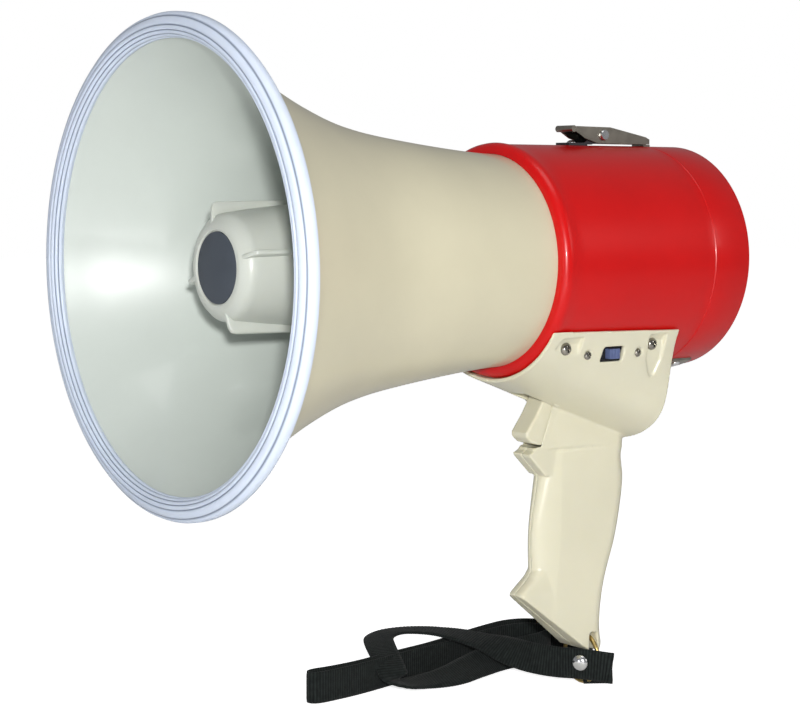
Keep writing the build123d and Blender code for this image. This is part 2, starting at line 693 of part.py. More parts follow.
def slide_knob():
    stem = block(SWITCH_X - 5.6, SWITCH_X + 1.0, 41.7, 45.6, SWITCH_Z - 2.7, SWITCH_Z + 2.4)
    for i in range(3):
        x = SWITCH_X - 4.3 + 2.0 * i
        stem -= block(x - 0.3, x + 0.3, 45.2, 46, SWITCH_Z - 3, SWITCH_Z + 3)
    return stem


def cross_screw(shank_r, head_r, length, head_height):
    """Pan-head cross-recess screw, head at the local origin, shank along -Z."""
    bulge = (head_r * 0.72, head_height * 0.78)
    dome = Curve() + [Line((0, 0), (head_r, 0)), ThreePointArc((head_r, 0), bulge, (0, head_height)),
                      Line((0, head_height), (0, 0))]
    head = revolve(Plane.XZ * make_face(dome), Axis.Z, 360)
    body = head + Pos(0, 0, -length / 2) * Cylinder(shank_r, length)
    slot = Box(head_r * 1.1, head_r * 0.26, head_height * 1.2) + Box(head_r * 0.26, head_r * 1.1, head_height * 1.2)
    return body - Pos(0, 0, head_height) * slot


def screws_large():
    group = Part()
    for (x, z), seat in zip(LARGE_SCREWS, (SCREW_SEAT_Y, SCREW_SEAT_Y)):
        screw = Pos(x, seat, z) * Rot(-90, 0, 0) * cross_screw(1.45, 3.3, 7.0, 2.2)
        group += screw
        group += mirror(screw, Plane.XZ)
    return group


def screws_small():
    group = Part()
    for x, z in SMALL_SCREWS:
        group += Pos(x, SMALL_SEAT_Y, z) * Rot(-90, 0, 0) * cross_screw(1.15, 2.3, 5.4, 1.4)
    return group


# ---------------------------------------------------------------- amplifier and wiring

def amplifier_board():
    """Board in the hollow of the saddle, under the opening in the barrel."""
    board = block(-266, -232, -17, 17, -67.6, -66.0)
    for x, y in ((-260, -10), (-250, -11), (-240, 10)):
        board += Pos(x, y, -67.5 - 3.2) * Cylinder(3.4, 6.6)
    board += block(-262, -244, 2, 12, -70.6, -67.5)
    return board


def wiring():
    """Leads from the board through the barrel to the loudspeaker driver."""
    group = Part()
    for y in (-3.0, 3.0):
        run = FilletPolyline((-236, y, -65.9), (-236, y, -52), (-242.8, y, -46), (-242.8, y, -36), radius=3.5)
        section = Plane(origin=run @ 0, z_dir=run % 0) * Circle(0.9)
        group += sweep(section, run)
        group += Pos(-241.4, y, -35) * Box(2.8, 2.6, 3)
    return group


# ---------------------------------------------------------------- strap

ROUTE = [
    (-250.9, 5.4, -218.4, 90),
    (-254.6, 12.0, -217.4, 90),
    (-257.4, 19.0, -216.4, 90),
    (-256.0, 23.4, -215.6, 90),
    (-252.0, 20.4, -214.8, 90),
    (-246.0, 9.5, -214.2, 90),
    (-238.5, -5.0, -215.0, 96),
    (-233.0, -25.0, -214.2, 122),
    (-228.0, -48.0, -210.0, 165),
    (-216.0, -74.0, -207.2, 178),
    (-198.0, -88.5, -207.2, 182),
    (-180.5, -83.0, -207.5, 184),
    (-170.5, -67.5, -208.0, 182),
    (-164.5, -51.0, -214.2, 180),
    (-162.5, -41.0, -223.5, 182),
    (-178.0, -42.5, -224.6, 190),
    (-196.0, -38.0, -223.2, 203),
    (-214.0, -42.0, -221.2, 215),
    (-240.0, -48.0, -219.5, 235),
    (-268.0, -46.0, -219.0, 262),
    (-287.0, -58.0, -219.0, 270),
    (-278.0, -76.0, -219.0, 270),
    (-248.0, -73.0, -219.0, 270),
    (-214.0, -62.0, -219.0, 270),
    (-178.0, -57.0, -219.0, 270),
    (-146.0, -49.5, -219.0, 270),
    (-127.0, -47.2, -219.0, 270),
    (-114.5, -46.6, -219.0, 270),
    (-111.8, -51.8, -219.0, 270),
    (-116.5, -55.0, -219.0, 270),
    (-129.0, -54.0, -219.0, 270),
    (-149.0, -55.6, -219.0, 270),
    (-176.0, -61.8, -219.0, 270),
    (-208.0, -67.0, -219.0, 270),
    (-246.0, -80.0, -219.0, 270),
    (-284.0, -88.0, -219.0, 270),
    (-300.0, -60.0, -219.0, 270),
    (-290.0, -28.0, -218.8, 270),
    (-268.0, -8.0, -218.6, 270),
    (-253.4, 2.2, -218.5, 270),
]


def split_ring():
    ring_body = Pos(*RING_CENTRE) * Rot(0, 90, 0) * Torus(RING_R, RING_WIRE)
    return ring_body


def strap_rivet():
    frame = Plane(origin=(-246.0, 9.5, -213.6), z_dir=(0.858, 0.514, 0))
    return frame.location * (rivet(1.5, 4.4, 6.0, 0.9) + Pos(0, 0, -6.2) * Cylinder(3.2, 0.6))


def strap_section(path, t, tilt):
    """Cross-section of the strap square to its run, leaned over to tilt degrees above level."""
    along = path % t
    level = Vector(-along.Y, along.X, 0).normalized()
    up = along.cross(level)
    if up.Z < 0:
        up = up * -1
    wide = level * cos(tilt * pi / 180) + up * sin(tilt * pi / 180)
    return Plane(origin=path @ t, x_dir=wide, z_dir=along) * Rectangle(STRAP_WIDTH, STRAP_THICK)


def wrist_strap(radii):
    points = [(x, y, z) for x, y, z, tilt in ROUTE]
    path = FilletPolyline(*points, radius=radii)
    edges = path.edges()
    total = path.length
    print("strap length", round(total, 1))
    stations = [0.0]
    travelled = 0.0
    for edge in edges:
        steps = 4 if edge.geom_type == GeomType.CIRCLE else 1
        for i in range(steps):
            stations.append((travelled + edge.length * (i + 1) / steps) / total)
        travelled += edge.length
    reach = [0.0]
    for a, b in zip(points[:-1], points[1:]):
        reach.append(reach[-1] + (Vector(*b) - Vector(*a)).length)
    sections = []
    for t in stations:
        along = t * reach[-1]
        i = max(k for k in range(len(reach) - 1) if reach[k] <= along + 1e-6)
        part = min(1.0, (along - reach[i]) / (reach[i + 1] - reach[i]))
        tilt = ROUTE[i][3] + part * (ROUTE[i + 1][3] - ROUTE[i][3])
        sections.append(strap_section(path, min(t, 1.0), tilt))
    band = loft(sections, ruled=True)
    print("strap volume", round(band.volume), "section times length", round(total * STRAP_WIDTH * STRAP_THICK))
    return band


def route_radii():
    points = [Vector(x, y, z) for x, y, z, tilt in ROUTE]
    radii = []
    for before, corner, after in zip(points[:-2], points[1:-1], points[2:]):
        turn = (corner - before).get_angle(after - corner)
        shorter = min((corner - before).length, (after - corner).length)
        radii.append(0.45 * shorter / tan(turn * pi / 360))
    return radii


def main():
    radii = route_radii()
    print("strap radii", [round(r, 1) for r in radii])
    bell = bell_horn()
    save("bell_horn", bell)
    save("rim_trim", rim_trim(bell))
    save("reflector_cup", reflector_inside_bell(reflector_cup(), bell) - boss_disc())
    save("reflector_disc", boss_disc())
    save("tone_arm", tone_arm())
    save("driver_housing", driver_housing())
    save("driver_diaphragm", driver_diaphragm())
    save("driver_magnet", driver_magnet())
    save("driver_yoke", driver_yoke())
    save("driver_top_plate", driver_top_plate())
    save("barrel", barrel())
    save("rear_cap", rear_cap())
    save("cap_gasket", cap_gasket())
    save("hinge_leaf_fixed", hinge_leaf_fixed())
    save("hinge_leaf_cap", hinge_leaf_cap())
    save("hinge_pin", hinge_pin())
    save("hinge_rivets_fixed", hinge_rivets_fixed())
    save("hinge_rivets_cap", hinge_rivets_cap())
    save("latch_bracket", latch_bracket())
    save("latch_foot_rivet", latch_foot_rivet())
    save("latch_lever", latch_lever())
    save("latch_rivet", latch_rivet())
    save("latch_spring", latch_spring())
    save("latch_catch", latch_catch())
    save("microphone_capsule", microphone_capsule())
    save("microphone_holder", microphone_holder())
    save("volume_control", volume_control())
    save("volume_knob", volume_knob())
    save("battery_cells", battery_cells())
    save("battery_holder", battery_holder())
    save("battery_contacts", battery_contacts())
    save("cap_contact_plate", cap_contact_plate())
    left, right = handle_halves()
    save("handle_left", left)
    save("handle_right", right)
    save("trigger", trigger())
    save("trigger_pin", trigger_pin())
    save("trigger_spring", trigger_spring())
    save("trigger_switch", trigger_switch())
    save("slide_switch_body", slide_switch_body())
    save("slide_knob", slide_knob())
    save("saddle_screws_large", screws_large())
    save("saddle_screws_small", screws_small())
    save("amplifier_board", amplifier_board())
    save("wiring", wiring())
    save("split_ring", split_ring())
    save("strap_rivet", strap_rivet())
    save("wrist_strap", wrist_strap(radii))


main()
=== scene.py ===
from math import cos, pi, radians, sin, sqrt

import bmesh
import bpy
import numpy as np
from mathutils import Matrix, Vector


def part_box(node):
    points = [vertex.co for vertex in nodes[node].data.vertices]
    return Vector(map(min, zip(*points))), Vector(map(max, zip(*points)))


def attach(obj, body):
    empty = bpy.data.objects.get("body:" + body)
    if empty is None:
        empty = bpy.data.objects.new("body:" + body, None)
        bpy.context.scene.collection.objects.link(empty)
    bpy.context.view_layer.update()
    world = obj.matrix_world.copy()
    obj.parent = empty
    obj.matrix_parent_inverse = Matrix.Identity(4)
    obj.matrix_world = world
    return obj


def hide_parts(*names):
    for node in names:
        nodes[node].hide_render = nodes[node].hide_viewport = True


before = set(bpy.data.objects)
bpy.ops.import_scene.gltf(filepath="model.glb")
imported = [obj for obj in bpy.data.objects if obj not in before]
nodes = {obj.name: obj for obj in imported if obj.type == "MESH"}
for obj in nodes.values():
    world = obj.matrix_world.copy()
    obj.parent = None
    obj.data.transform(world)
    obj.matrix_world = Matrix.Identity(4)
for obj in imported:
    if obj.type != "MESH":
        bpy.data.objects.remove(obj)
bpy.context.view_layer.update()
scene = bpy.context.scene

# ---- Studio: a white table under the strap and a white surround. The camera stands in front of the
# left-hand side of the bell, a little above the horn axis. A small lamp close to it does most of the
# lighting, and three larger boxes fill in softly. The horn axis is the line that the rim, the bell
# and the barrel are turned about; places on it are in millimetres, negative towards the rear.
RIM_CREST = 0.0032
rim_low, rim_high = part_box("rim_trim")
MOUTH = Vector((rim_high[0] - RIM_CREST, 0, (rim_low[2] + rim_high[2]) / 2))


def at(x, y, z):
    """A point in millimetres from the middle of the mouth, as a point in metres."""
    return MOUTH + Vector((x, y, z)) / 1000


EYE = at(463.26, 780.12, 36.64)
LOOKING = Vector((-0.60447, -0.79183, -0.08733)).normalized()
LENS = 90.05
SENSOR = 36
ROLL = 0.00248
SURROUND_GLOW = 0.25
TABLE_LIFT = 0.8
TABLE_HALF = 6

camera = bpy.data.objects.new("camera", bpy.data.cameras.new("camera"))
camera.data.lens = LENS
camera.data.sensor_width = SENSOR
camera.matrix_world = (Matrix.Translation(EYE) @ LOOKING.to_track_quat("-Z", "Y").to_matrix().to_4x4()
                       @ Matrix.Rotation(ROLL, 4, "Z"))
scene.collection.objects.link(camera)
scene.camera = camera


def soft_box(name, place, target, wide, high, watts, colour=(1, 1, 1)):
    """A rectangular lamp that faces its target."""
    light = bpy.data.lights.new(name, "AREA")
    light.shape = "RECTANGLE"
    light.size = wide
    light.size_y = high
    light.energy = watts
    light.color = colour
    lamp = bpy.data.objects.new(name, light)
    lamp.location = place
    lamp.rotation_euler = (Vector(target) - Vector(place)).to_track_quat("-Z", "Y").to_euler()
    scene.collection.objects.link(lamp)


soft_box("flash", (0.70, 0.80, 0.24), (0.1, 0, 0.1), 0.045, 0.04, 8.8)
soft_box("overhead", (0.2, 0.3, 1.3), (0.1, 0, 0.1), 0.8, 0.6, 3.5)
soft_box("window", (1.35, 0.35, -0.02), (0.2, 0, 0.1), 0.25, 0.5, 1.6, (0.95, 0.97, 1))
soft_box("side", (-0.7, 1.2, 0.6), (0.0, 0, 0.05), 0.4, 0.5, 1.6, (1, 0.98, 0.95))

world = bpy.data.worlds.new("surround")
scene.world = world
world.use_nodes = True
sky = world.node_tree
sky.nodes.clear()
sky_out = sky.nodes.new("ShaderNodeOutputWorld")
sky_mix = sky.nodes.new("ShaderNodeMixShader")
sky_rays = sky.nodes.new("ShaderNodeLightPath")
backdrop = sky.nodes.new("ShaderNodeBackground")
backdrop.inputs["Color"].default_value = (1, 1, 1, 1)
backdrop.inputs["Strength"].default_value = 1.0
glow = sky.nodes.new("ShaderNodeBackground")
glow.inputs["Color"].default_value = (0.95, 0.97, 1, 1)
glow.inputs["Strength"].default_value = SURROUND_GLOW
sky.links.new(sky_rays.outputs["Is Camera Ray"], sky_mix.inputs["Fac"])
sky.links.new(glow.outputs["Background"], sky_mix.inputs[1])
sky.links.new(backdrop.outputs["Background"], sky_mix.inputs[2])
sky.links.new(sky_mix.outputs["Shader"], sky_out.inputs["Surface"])
scene.view_settings.view_transform = "Standard"
scene.view_settings.look = "None"


def finish_of(name, colour, rough, metal=0.0, shade=0.06, mottle=60.0, grain=900.0, bump=0.02, coat=0.0,
              skin=0.0):
    """A surface whose colour and roughness wander a little and whose grain is a fine bump."""
    material = bpy.data.materials.new(name)
    material.use_nodes = True
    tree = material.node_tree
    surface = tree.nodes["Principled BSDF"]
    where = tree.nodes.new("ShaderNodeTexCoord")
    cloud = tree.nodes.new("ShaderNodeTexNoise")
    cloud.inputs["Scale"].default_value = mottle
    cloud.inputs["Detail"].default_value = 4
    ramp = tree.nodes.new("ShaderNodeValToRGB")
    darker, lighter = ramp.color_ramp.elements
    darker.position = 0.3
    lighter.position = 0.72
    darker.color = [c * (1 - shade) for c in colour] + [1]
    lighter.color = [min(1, c * (1 + shade)) for c in colour] + [1]
    sand = tree.nodes.new("ShaderNodeTexNoise")
    sand.inputs["Scale"].default_value = grain
    sand.inputs["Detail"].default_value = 3
    gloss = tree.nodes.new("ShaderNodeMapRange")
    gloss.inputs["To Min"].default_value = rough * 0.85
    gloss.inputs["To Max"].default_value = min(1, rough * 1.2)
    rise = tree.nodes.new("ShaderNodeBump")
    rise.inputs["Strength"].default_value = bump
    rise.inputs["Distance"].default_value = 0.0004
    tree.links.new(where.outputs["Object"], cloud.inputs["Vector"])
    tree.links.new(where.outputs["Object"], sand.inputs["Vector"])
    tree.links.new(cloud.outputs["Fac"], ramp.inputs["Fac"])
    tree.links.new(ramp.outputs["Color"], surface.inputs["Base Color"])
    tree.links.new(cloud.outputs["Fac"], gloss.inputs["Value"])
    tree.links.new(gloss.outputs["Result"], surface.inputs["Roughness"])
    tree.links.new(sand.outputs["Fac"], rise.inputs["Height"])
    tree.links.new(rise.outputs["Normal"], surface.inputs["Normal"])
    surface.inputs["Metallic"].default_value = metal
    surface.inputs["Coat Weight"].default_value = coat
    surface.inputs["Coat Roughness"].default_value = 0.06
    if skin:
        surface.inputs["Subsurface Weight"].default_value = skin
        surface.inputs["Subsurface Radius"].default_value = (0.6, 0.5, 0.3)
        surface.inputs["Subsurface Scale"].default_value = 0.002
    return material


table_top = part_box("wrist_strap")[0][2] - 0.0002
table_mesh = bpy.data.meshes.new("table")
table_mesh.from_pydata([(x * TABLE_HALF, y * TABLE_HALF, table_top)
                        for x, y in ((-1, -1), (1, -1), (1, 1), (-1, 1))], [], [(0, 1, 2, 3)])
table_white = finish_of("table_white", (0.90, 0.90, 0.90), 0.8, shade=0.01, bump=0.0)
paper = table_white.node_tree
paper_lit = paper.nodes.new("ShaderNodeEmission")
paper_rays = paper.nodes.new("ShaderNodeLightPath")
paper_level = paper.nodes.new("ShaderNodeMath")
paper_level.operation = "MULTIPLY"
paper_level.inputs[1].default_value = TABLE_LIFT
paper_sum = paper.nodes.new("ShaderNodeAddShader")
paper.links.new(paper_rays.outputs["Is Camera Ray"], paper_level.inputs[0])
paper.links.new(paper_level.outputs["Value"], paper_lit.inputs["Strength"])
paper.links.new(paper.nodes["Principled BSDF"].outputs["BSDF"], paper_sum.inputs[0])
paper.links.new(paper_lit.outputs["Emission"], paper_sum.inputs[1])
paper.links.new(paper_sum.outputs["Shader"], paper.nodes["Material Output"].inputs["Surface"])
table_mesh.materials.append(table_white)
table = bpy.data.objects.new("table", table_mesh)
scene.collection.objects.link(table)

# ---- Wrist strap: black ribbed webbing in one long loop, 16 mm wide. One end is folded round the
# ring and riveted. The loop rolls over itself, lies on the table, and comes back behind the heel of
# the grip to the rivet. Each point of its run has the tilt of the band in degrees above level.
ROUTE = [
    (-0.0029, 0.0054, -0.0784, 90), (-0.0066, 0.0120, -0.0774, 90), (-0.0094, 0.0190, -0.0764, 90),
    (-0.0080, 0.0234, -0.0756, 90), (-0.0040, 0.0204, -0.0748, 90), (0.0020, 0.0095, -0.0742, 90),
    (0.0095, -0.0050, -0.0750, 96), (0.0150, -0.0250, -0.0742, 122), (0.0200, -0.0480, -0.0700, 165),
    (0.0320, -0.0740, -0.0672, 178), (0.0500, -0.0885, -0.0672, 182), (0.0675, -0.0830, -0.0675, 184),
    (0.0775, -0.0675, -0.0680, 182), (0.0835, -0.0510, -0.0742, 180), (0.0855, -0.0410, -0.0835, 182),
    (0.0700, -0.0425, -0.0846, 190), (0.0520, -0.0380, -0.0832, 203), (0.0340, -0.0420, -0.0812, 215),
    (0.0080, -0.0480, -0.0795, 235), (-0.0200, -0.0460, -0.0790, 262), (-0.0390, -0.0580, -0.0790, 270),
    (-0.0300, -0.0760, -0.0790, 270), (0.0000, -0.0730, -0.0790, 270), (0.0340, -0.0620, -0.0790, 270),
    (0.0700, -0.0570, -0.0790, 270), (0.1020, -0.0495, -0.0790, 270), (0.1210, -0.0472, -0.0790, 270),
    (0.1335, -0.0466, -0.0790, 270), (0.1362, -0.0518, -0.0790, 270), (0.1315, -0.0550, -0.0790, 270),
    (0.1190, -0.0540, -0.0790, 270), (0.0990, -0.0556, -0.0790, 270), (0.0720, -0.0618, -0.0790, 270),
    (0.0400, -0.0670, -0.0790, 270), (0.0020, -0.0800, -0.0790, 270), (-0.0360, -0.0880, -0.0790, 270),
    (-0.0520, -0.0600, -0.0790, 270), (-0.0420, -0.0280, -0.0788, 270), (-0.0200, -0.0080, -0.0786, 270),
    (-0.0054, 0.0022, -0.0785, 270),
]
STRAP_STEP = 0.0004
STRAP_HALF = 0.00815
STRAP_CORE = 0.00045
RIB_RISE = 0.00038
RIB_PITCH = 0.0016
RIB_SHAPE = 0.7
SELVEDGE = 0.72
STRAP_ACROSS = 9


def show(name, mesh, body, slot, *replaced):
    """Puts a finished mesh on its body, in place of the CAD nodes it stands for."""
    piece = bpy.data.objects.new(name, mesh)
    scene.collection.objects.link(piece)
    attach(piece, body)
    if replaced:
        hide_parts(*replaced)
    return piece


def paint_valley_shade(material, mesh, levels, colour):
    """Paints shade into the valleys of a ribbed mesh; levels run from 0 there to 1 on the ribs."""
    crest = mesh.attributes.new("crest", "FLOAT", "POINT")
    crest.data.foreach_set("value", levels.astype(np.float32))
    tree = material.node_tree
    height = tree.nodes.new("ShaderNodeAttribute")
    height.attribute_name = "crest"
    blend = tree.nodes.new("ShaderNodeMix")
    blend.data_type = "RGBA"
    socket = {s.identifier: s for s in list(blend.inputs) + list(blend.outputs)}
    socket["A_Color"].default_value = colour
    tree.links.new(height.outputs["Fac"], socket["Factor_Float"])
    tree.links.new(tree.nodes["Color Ramp"].outputs["Color"], socket["B_Color"])
    tree.links.new(socket["Result_Color"], tree.nodes["Principled BSDF"].inputs["Base Color"])
    mesh.materials.append(material)


run_curve = bpy.data.curves.new("strap_route", "CURVE")
run_curve.dimensions = "3D"
run_curve.resolution_u = 24
spline = run_curve.splines.new("NURBS")
spline.points.add(len(ROUTE) - 1)
for point, (x, y, z, tilt) in zip(spline.points, ROUTE):
    point.co = (x, y, z, 1)
spline.order_u = 3
spline.use_endpoint_u = True
run_object = bpy.data.objects.new("strap_route", run_curve)
scene.collection.objects.link(run_object)
bpy.context.view_layer.update()
run_points = np.array([v.co for v in bpy.data.meshes.new_from_object(run_object).vertices])
bpy.data.objects.remove(run_object)

SPANS = len(ROUTE) - 2
travelled = np.concatenate([[0], np.cumsum(np.linalg.norm(np.diff(run_points, axis=0), axis=1))])
tilt_places = np.concatenate([[0], np.arange(SPANS) + 0.5, [SPANS]])
tilts = np.interp(np.linspace(0, SPANS, len(run_points)), tilt_places, [r[3] for r in ROUTE])
along = np.linspace(0, travelled[-1], int(travelled[-1] / STRAP_STEP))
path = np.stack([np.interp(along, travelled, run_points[:, k]) for k in range(3)], axis=1)
lean = np.radians(np.interp(along, travelled, tilts))[:, None]
forward = np.gradient(path, axis=0)
forward /= np.linalg.norm(forward, axis=1)[:, None]
level = np.cross([0, 0, 1.0], forward)
level /= np.linalg.norm(level, axis=1)[:, None]
broad = level * np.cos(lean) + np.cross(forward, level) * np.sin(lean)
face = np.cross(forward, broad)
rib = np.abs(np.cos(pi * along / RIB_PITCH)) ** RIB_SHAPE

mesh = bpy.data.meshes.new("wrist_strap")
b = bmesh.new()
rows = []
for k in range(len(along)):
    row = []
    for hand in (1, -1):
        for t in np.linspace(-1, 1, STRAP_ACROSS)[::hand]:
            thick = (STRAP_CORE + RIB_RISE * rib[k]) * (1 if abs(t) < 0.9 else SELVEDGE)
            row.append(b.verts.new(path[k] + broad[k] * t * STRAP_HALF + hand * face[k] * thick))
    rows.append(row)
for near, far in zip(rows[:-1], rows[1:]):
    for j in range(len(near)):
        i = (j + 1) % len(near)
        b.faces.new((near[j], near[i], far[i], far[j]))
b.faces.new(rows[0])
b.faces.new(list(reversed(rows[-1])))
bmesh.ops.recalc_face_normals(b, faces=b.faces)
for f in b.faces:
    f.smooth = True
b.to_mesh(mesh)
b.free()
webbing = finish_of("webbing", (0.0165, 0.0205, 0.0195), 0.85, shade=0.35, mottle=400, grain=3000, bump=0.5)
webbing.node_tree.nodes["Principled BSDF"].inputs["Sheen Weight"].default_value = 0.06
webbing.node_tree.nodes["Principled BSDF"].inputs["Specular IOR Level"].default_value = 0.1
# Painted shade: the valleys between the ribs of the webbing are darkened to near-black.
paint_valley_shade(webbing, mesh, np.repeat(rib, 2 * STRAP_ACROSS), (0.0006, 0.0009, 0.0009, 1))
strap = show("wrist_strap_webbing", mesh, "strap", "webbing", "wrist_strap")

# ---- Ring and strap rivet: a brass wire ring through the lug in the heel, and a bright domed rivet
# that closes the strap round it. Both keep their built shape, with the edges just taken off.
EDGE_WIDTH = 0.00018
EDGE_ANGLE = radians(32)
WELD_GAP = 0.000002


def fit(material, *names):
    """Gives CAD pieces their finish and takes the sharpness off their edges."""
    for name in names:
        part = nodes[name]
        for slot in part.material_slots:
            slot.link = "OBJECT"
            slot.material = material
        weld = part.modifiers.new("weld", "WELD")
        weld.merge_threshold = WELD_GAP
        edge = part.modifiers.new("edge", "BEVEL")
        edge.width = EDGE_WIDTH
        edge.segments = 2
        edge.limit_method = "ANGLE"
        edge.angle_limit = EDGE_ANGLE


brass = finish_of("contact_brass", (0.70, 0.52, 0.20), 0.30, metal=1.0, shade=0.12)
bright = finish_of("bright_steel", (0.78, 0.78, 0.78), 0.16, metal=1.0, shade=0.08, mottle=200, grain=2600,
                   bump=0.04)
fit(brass, "split_ring")
fit(bright, "strap_rivet")

# ---- Bell: a thin cream horn, enamelled outside and in. It flares from the neck in the barrel to
# the mouth, and its edge is covered by the rim trim.
BELL = [(-2.2, 106.6), (-6, 104.2), (-22, 94.6), (-46, 82.4), (-64, 74.6), (-80, 68.9), (-95, 65.0),
        (-110, 62.2), (-130, 59.4), (-150, 57.0), (-170, 55.0), (-186, 54.0), (-199.5, 53.9)]
BELL_WALL = 1.95
CREASE = radians(38)


def smooth_line(points, count=8):
    """A smooth line through the points, with count steps between each two."""
    p = np.array([points[0]] + list(points) + [points[-1]], float)
    line = []
    for before, start, end, after in zip(p[:-3], p[1:-2], p[2:-1], p[3:]):
        for t in np.arange(count) / count:
            line.append(0.5 * (2 * start + (end - before) * t
                               + (2 * before - 5 * start + 4 * end - after) * t * t
                               + (3 * start - 3 * end + after - before) * t ** 3))
    return [tuple(q) for q in line] + [tuple(points[-1])]


def turned(name, outline, steps=240):
    """Mesh turned about the horn axis from a closed line of (x, radius) in millimetres."""
    mesh = bpy.data.meshes.new(name)
    b = bmesh.new()
    rings = []
    for k in range(steps):
        a = 2 * pi * k / steps
        rings.append([b.verts.new(at(x, r * sin(a), r * cos(a))) for x, r in outline])
    for k in range(steps):
        near, far = rings[k], rings[(k + 1) % steps]
        for j in range(len(outline)):
            i = (j + 1) % len(outline)
            b.faces.new((near[j], near[i], far[i], far[j]))
    bmesh.ops.remove_doubles(b, verts=b.verts, dist=0.00001)
    bmesh.ops.recalc_face_normals(b, faces=b.faces)
    for f in b.faces:
        f.smooth = True
    for e in b.edges:
        if len(e.link_faces) == 2 and e.calc_face_angle(0) > CREASE:
            e.smooth = False
    b.to_mesh(mesh)
    b.free()
    return mesh


bell_outside = smooth_line(BELL)
bell_inside = [(x - 0.4, r - BELL_WALL) for x, r in bell_outside]
mesh = turned("bell", bell_outside + bell_inside[::-1])
mesh.materials.append(finish_of("horn_enamel", (0.58, 0.54, 0.39), 0.30, shade=0.03, mottle=25, grain=1400,
                                bump=0.035, coat=0.25))
# Painted shade and reflection: the inside of the horn gets a greyer, cooler copy of the cream enamel.
mesh.materials.append(finish_of("horn_enamel_inside_shaded", (0.50, 0.54, 0.50), 0.34, shade=0.03, mottle=18,
                                grain=1600, bump=0.03, coat=0.5))
for f in mesh.polygons:
    from_axis = f.center - MOUTH
    if from_axis.y * f.normal.y + from_axis.z * f.normal.z < 0:
        f.material_index = 1
show("bell_enamelled", mesh, "housing", "horn_paint", "bell_horn")

# ---- Rim trim: a soft pale channel pushed over the edge of the bell. Its face is moulded in five
# rounded ribs that run round the mouth, with a dark line of painted shade in each valley.
TRIM = [(-2.5, 103.8), (-0.2, 104.0), (1.4, 104.9), (2.4, 106.5), (2.6, 108.6), (1.2, 112.6)]
TRIM_BACK = [(0.9, 113.5), (0.2, 114.3), (-1.0, 114.8), (-3.4, 114.8), (-4.2, 114.2), (-4.5, 112.8),
             (-4.6, 108.4), (-6.9, 105.2), (-6.4, 103.6), (-3.8, 104.5), (-3.0, 103.85)]
TRIM_RIB_RISE = 0.85
TRIM_RIB_STEPS = 8
TRIM_SHADE_REACH = 0.45
trim_face = []
for (x0, r0), (x1, r1) in zip(TRIM[:-1], TRIM[1:]):
    chord = sqrt((x1 - x0) ** 2 + (r1 - r0) ** 2)
    for k in range(TRIM_RIB_STEPS):
        t = k / TRIM_RIB_STEPS
        rise = TRIM_RIB_RISE * (4 * t * (1 - t)) ** 0.4
        trim_face.append((x0 + (x1 - x0) * t + (r1 - r0) / chord * rise,
                          r0 + (r1 - r0) * t - (x1 - x0) / chord * rise))
mesh = turned("trim", trim_face + [TRIM[-1]] + TRIM_BACK)
places = np.empty(len(mesh.vertices) * 3, np.float32)
mesh.vertices.foreach_get("co", places)
places = (places.reshape(-1, 3) - np.array(MOUTH)) * 1000
spread = np.hypot(places[:, 1], places[:, 2])
valley = np.min([np.hypot(places[:, 0] - x, spread - r) for x, r in TRIM[1:]], axis=0)
trim_pvc = finish_of("trim_pvc", (0.56, 0.62, 0.73), 0.42, shade=0.04, mottle=35, grain=1200, bump=0.04,
                     skin=0.1)
# Painted shade: the colour darkens to blue-grey in each valley between the ribs.
paint_valley_shade(trim_pvc, mesh, np.clip(valley / TRIM_SHADE_REACH, 0, 1), (0.13, 0.16, 0.22, 1))
show("trim_ribbed", mesh, "housing", "trim_pvc", "rim_trim")

# ---- Reflector boss: a moulded cup on the horn axis, closed in front, that turns the sound back
# into the bell. A slate disc is set in its front face inside a raised ring, and the tone arm
# comes up inside it from the driver.
CUP = [(-27.2, 0.1), (-27.2, 16.9), (-26.3, 17.1), (-25.9, 17.6), (-25.9, 19.2), (-26.2, 20.2), (-27.0, 21.4),
       (-28.2, 23.2), (-30.2, 24.9), (-33, 25.4), (-46, 27.0), (-61, 28.5), (-90, 31.0), (-118, 33.0),
       (-118, 31.0), (-61, 26.4), (-34, 23.0), (-31, 18), (-30.5, 0.1)]
DISC = [(-26.4, 0.1), (-26.4, 16.2), (-26.55, 16.6), (-27.1, 16.7), (-27.1, 0.1)]
boss_plastic = finish_of("boss_plastic", (0.50, 0.52, 0.47), 0.34, shade=0.03, mottle=40, grain=1500,
                         bump=0.04, skin=0.1)
mesh = turned("cup", CUP, steps=160)
mesh.materials.append(boss_plastic)
show("reflector_boss", mesh, "housing", "boss_plastic", "reflector_cup")
mesh = turned("disc", DISC, steps=120)
mesh.materials.append(finish_of("disc_slate", (0.052, 0.062, 0.078), 0.55, shade=0.10, mottle=90, grain=2600,
                                bump=0.12))
show("reflector_disc_slate", mesh, "housing", "disc_slate", "reflector_disc")
fit(boss_plastic, "tone_arm")

# ---- Reflector fins: four thin ribs of the same moulding, evenly spaced round the cup. Each runs
# back along it and out to the wall of the bell, and so holds the cup in the middle of the mouth.
FIN = [(-26.6, 19.6), (-28.2, 28.5), (-29.4, 30.6), (-31.5, 31.2), (-70, 31.8), (-110, 36.8), (-132, 56.4),
       (-141, 56.0), (-141, 50.0), (-118, 32.4), (-61, 27.6), (-33, 24.4), (-28, 20.0)]
FIN_HALF = 1.15
FIN_COUNT = 4
FIN_FIRST_TURN = radians(15)
FIN_EDGE = 0.0007
single = bpy.data.meshes.new("fin")
b = bmesh.new()
sides = [[b.verts.new(Vector((x, s, r)) / 1000) for x, r in FIN] for s in (-FIN_HALF, FIN_HALF)]
b.faces.new(sides[0])
b.faces.new(sides[1][::-1])
for j in range(len(FIN)):
    i = (j + 1) % len(FIN)
    b.faces.new((sides[0][j], sides[1][j], sides[1][i], sides[0][i]))
bmesh.ops.recalc_face_normals(b, faces=b.faces)
b.to_mesh(single)
b.free()

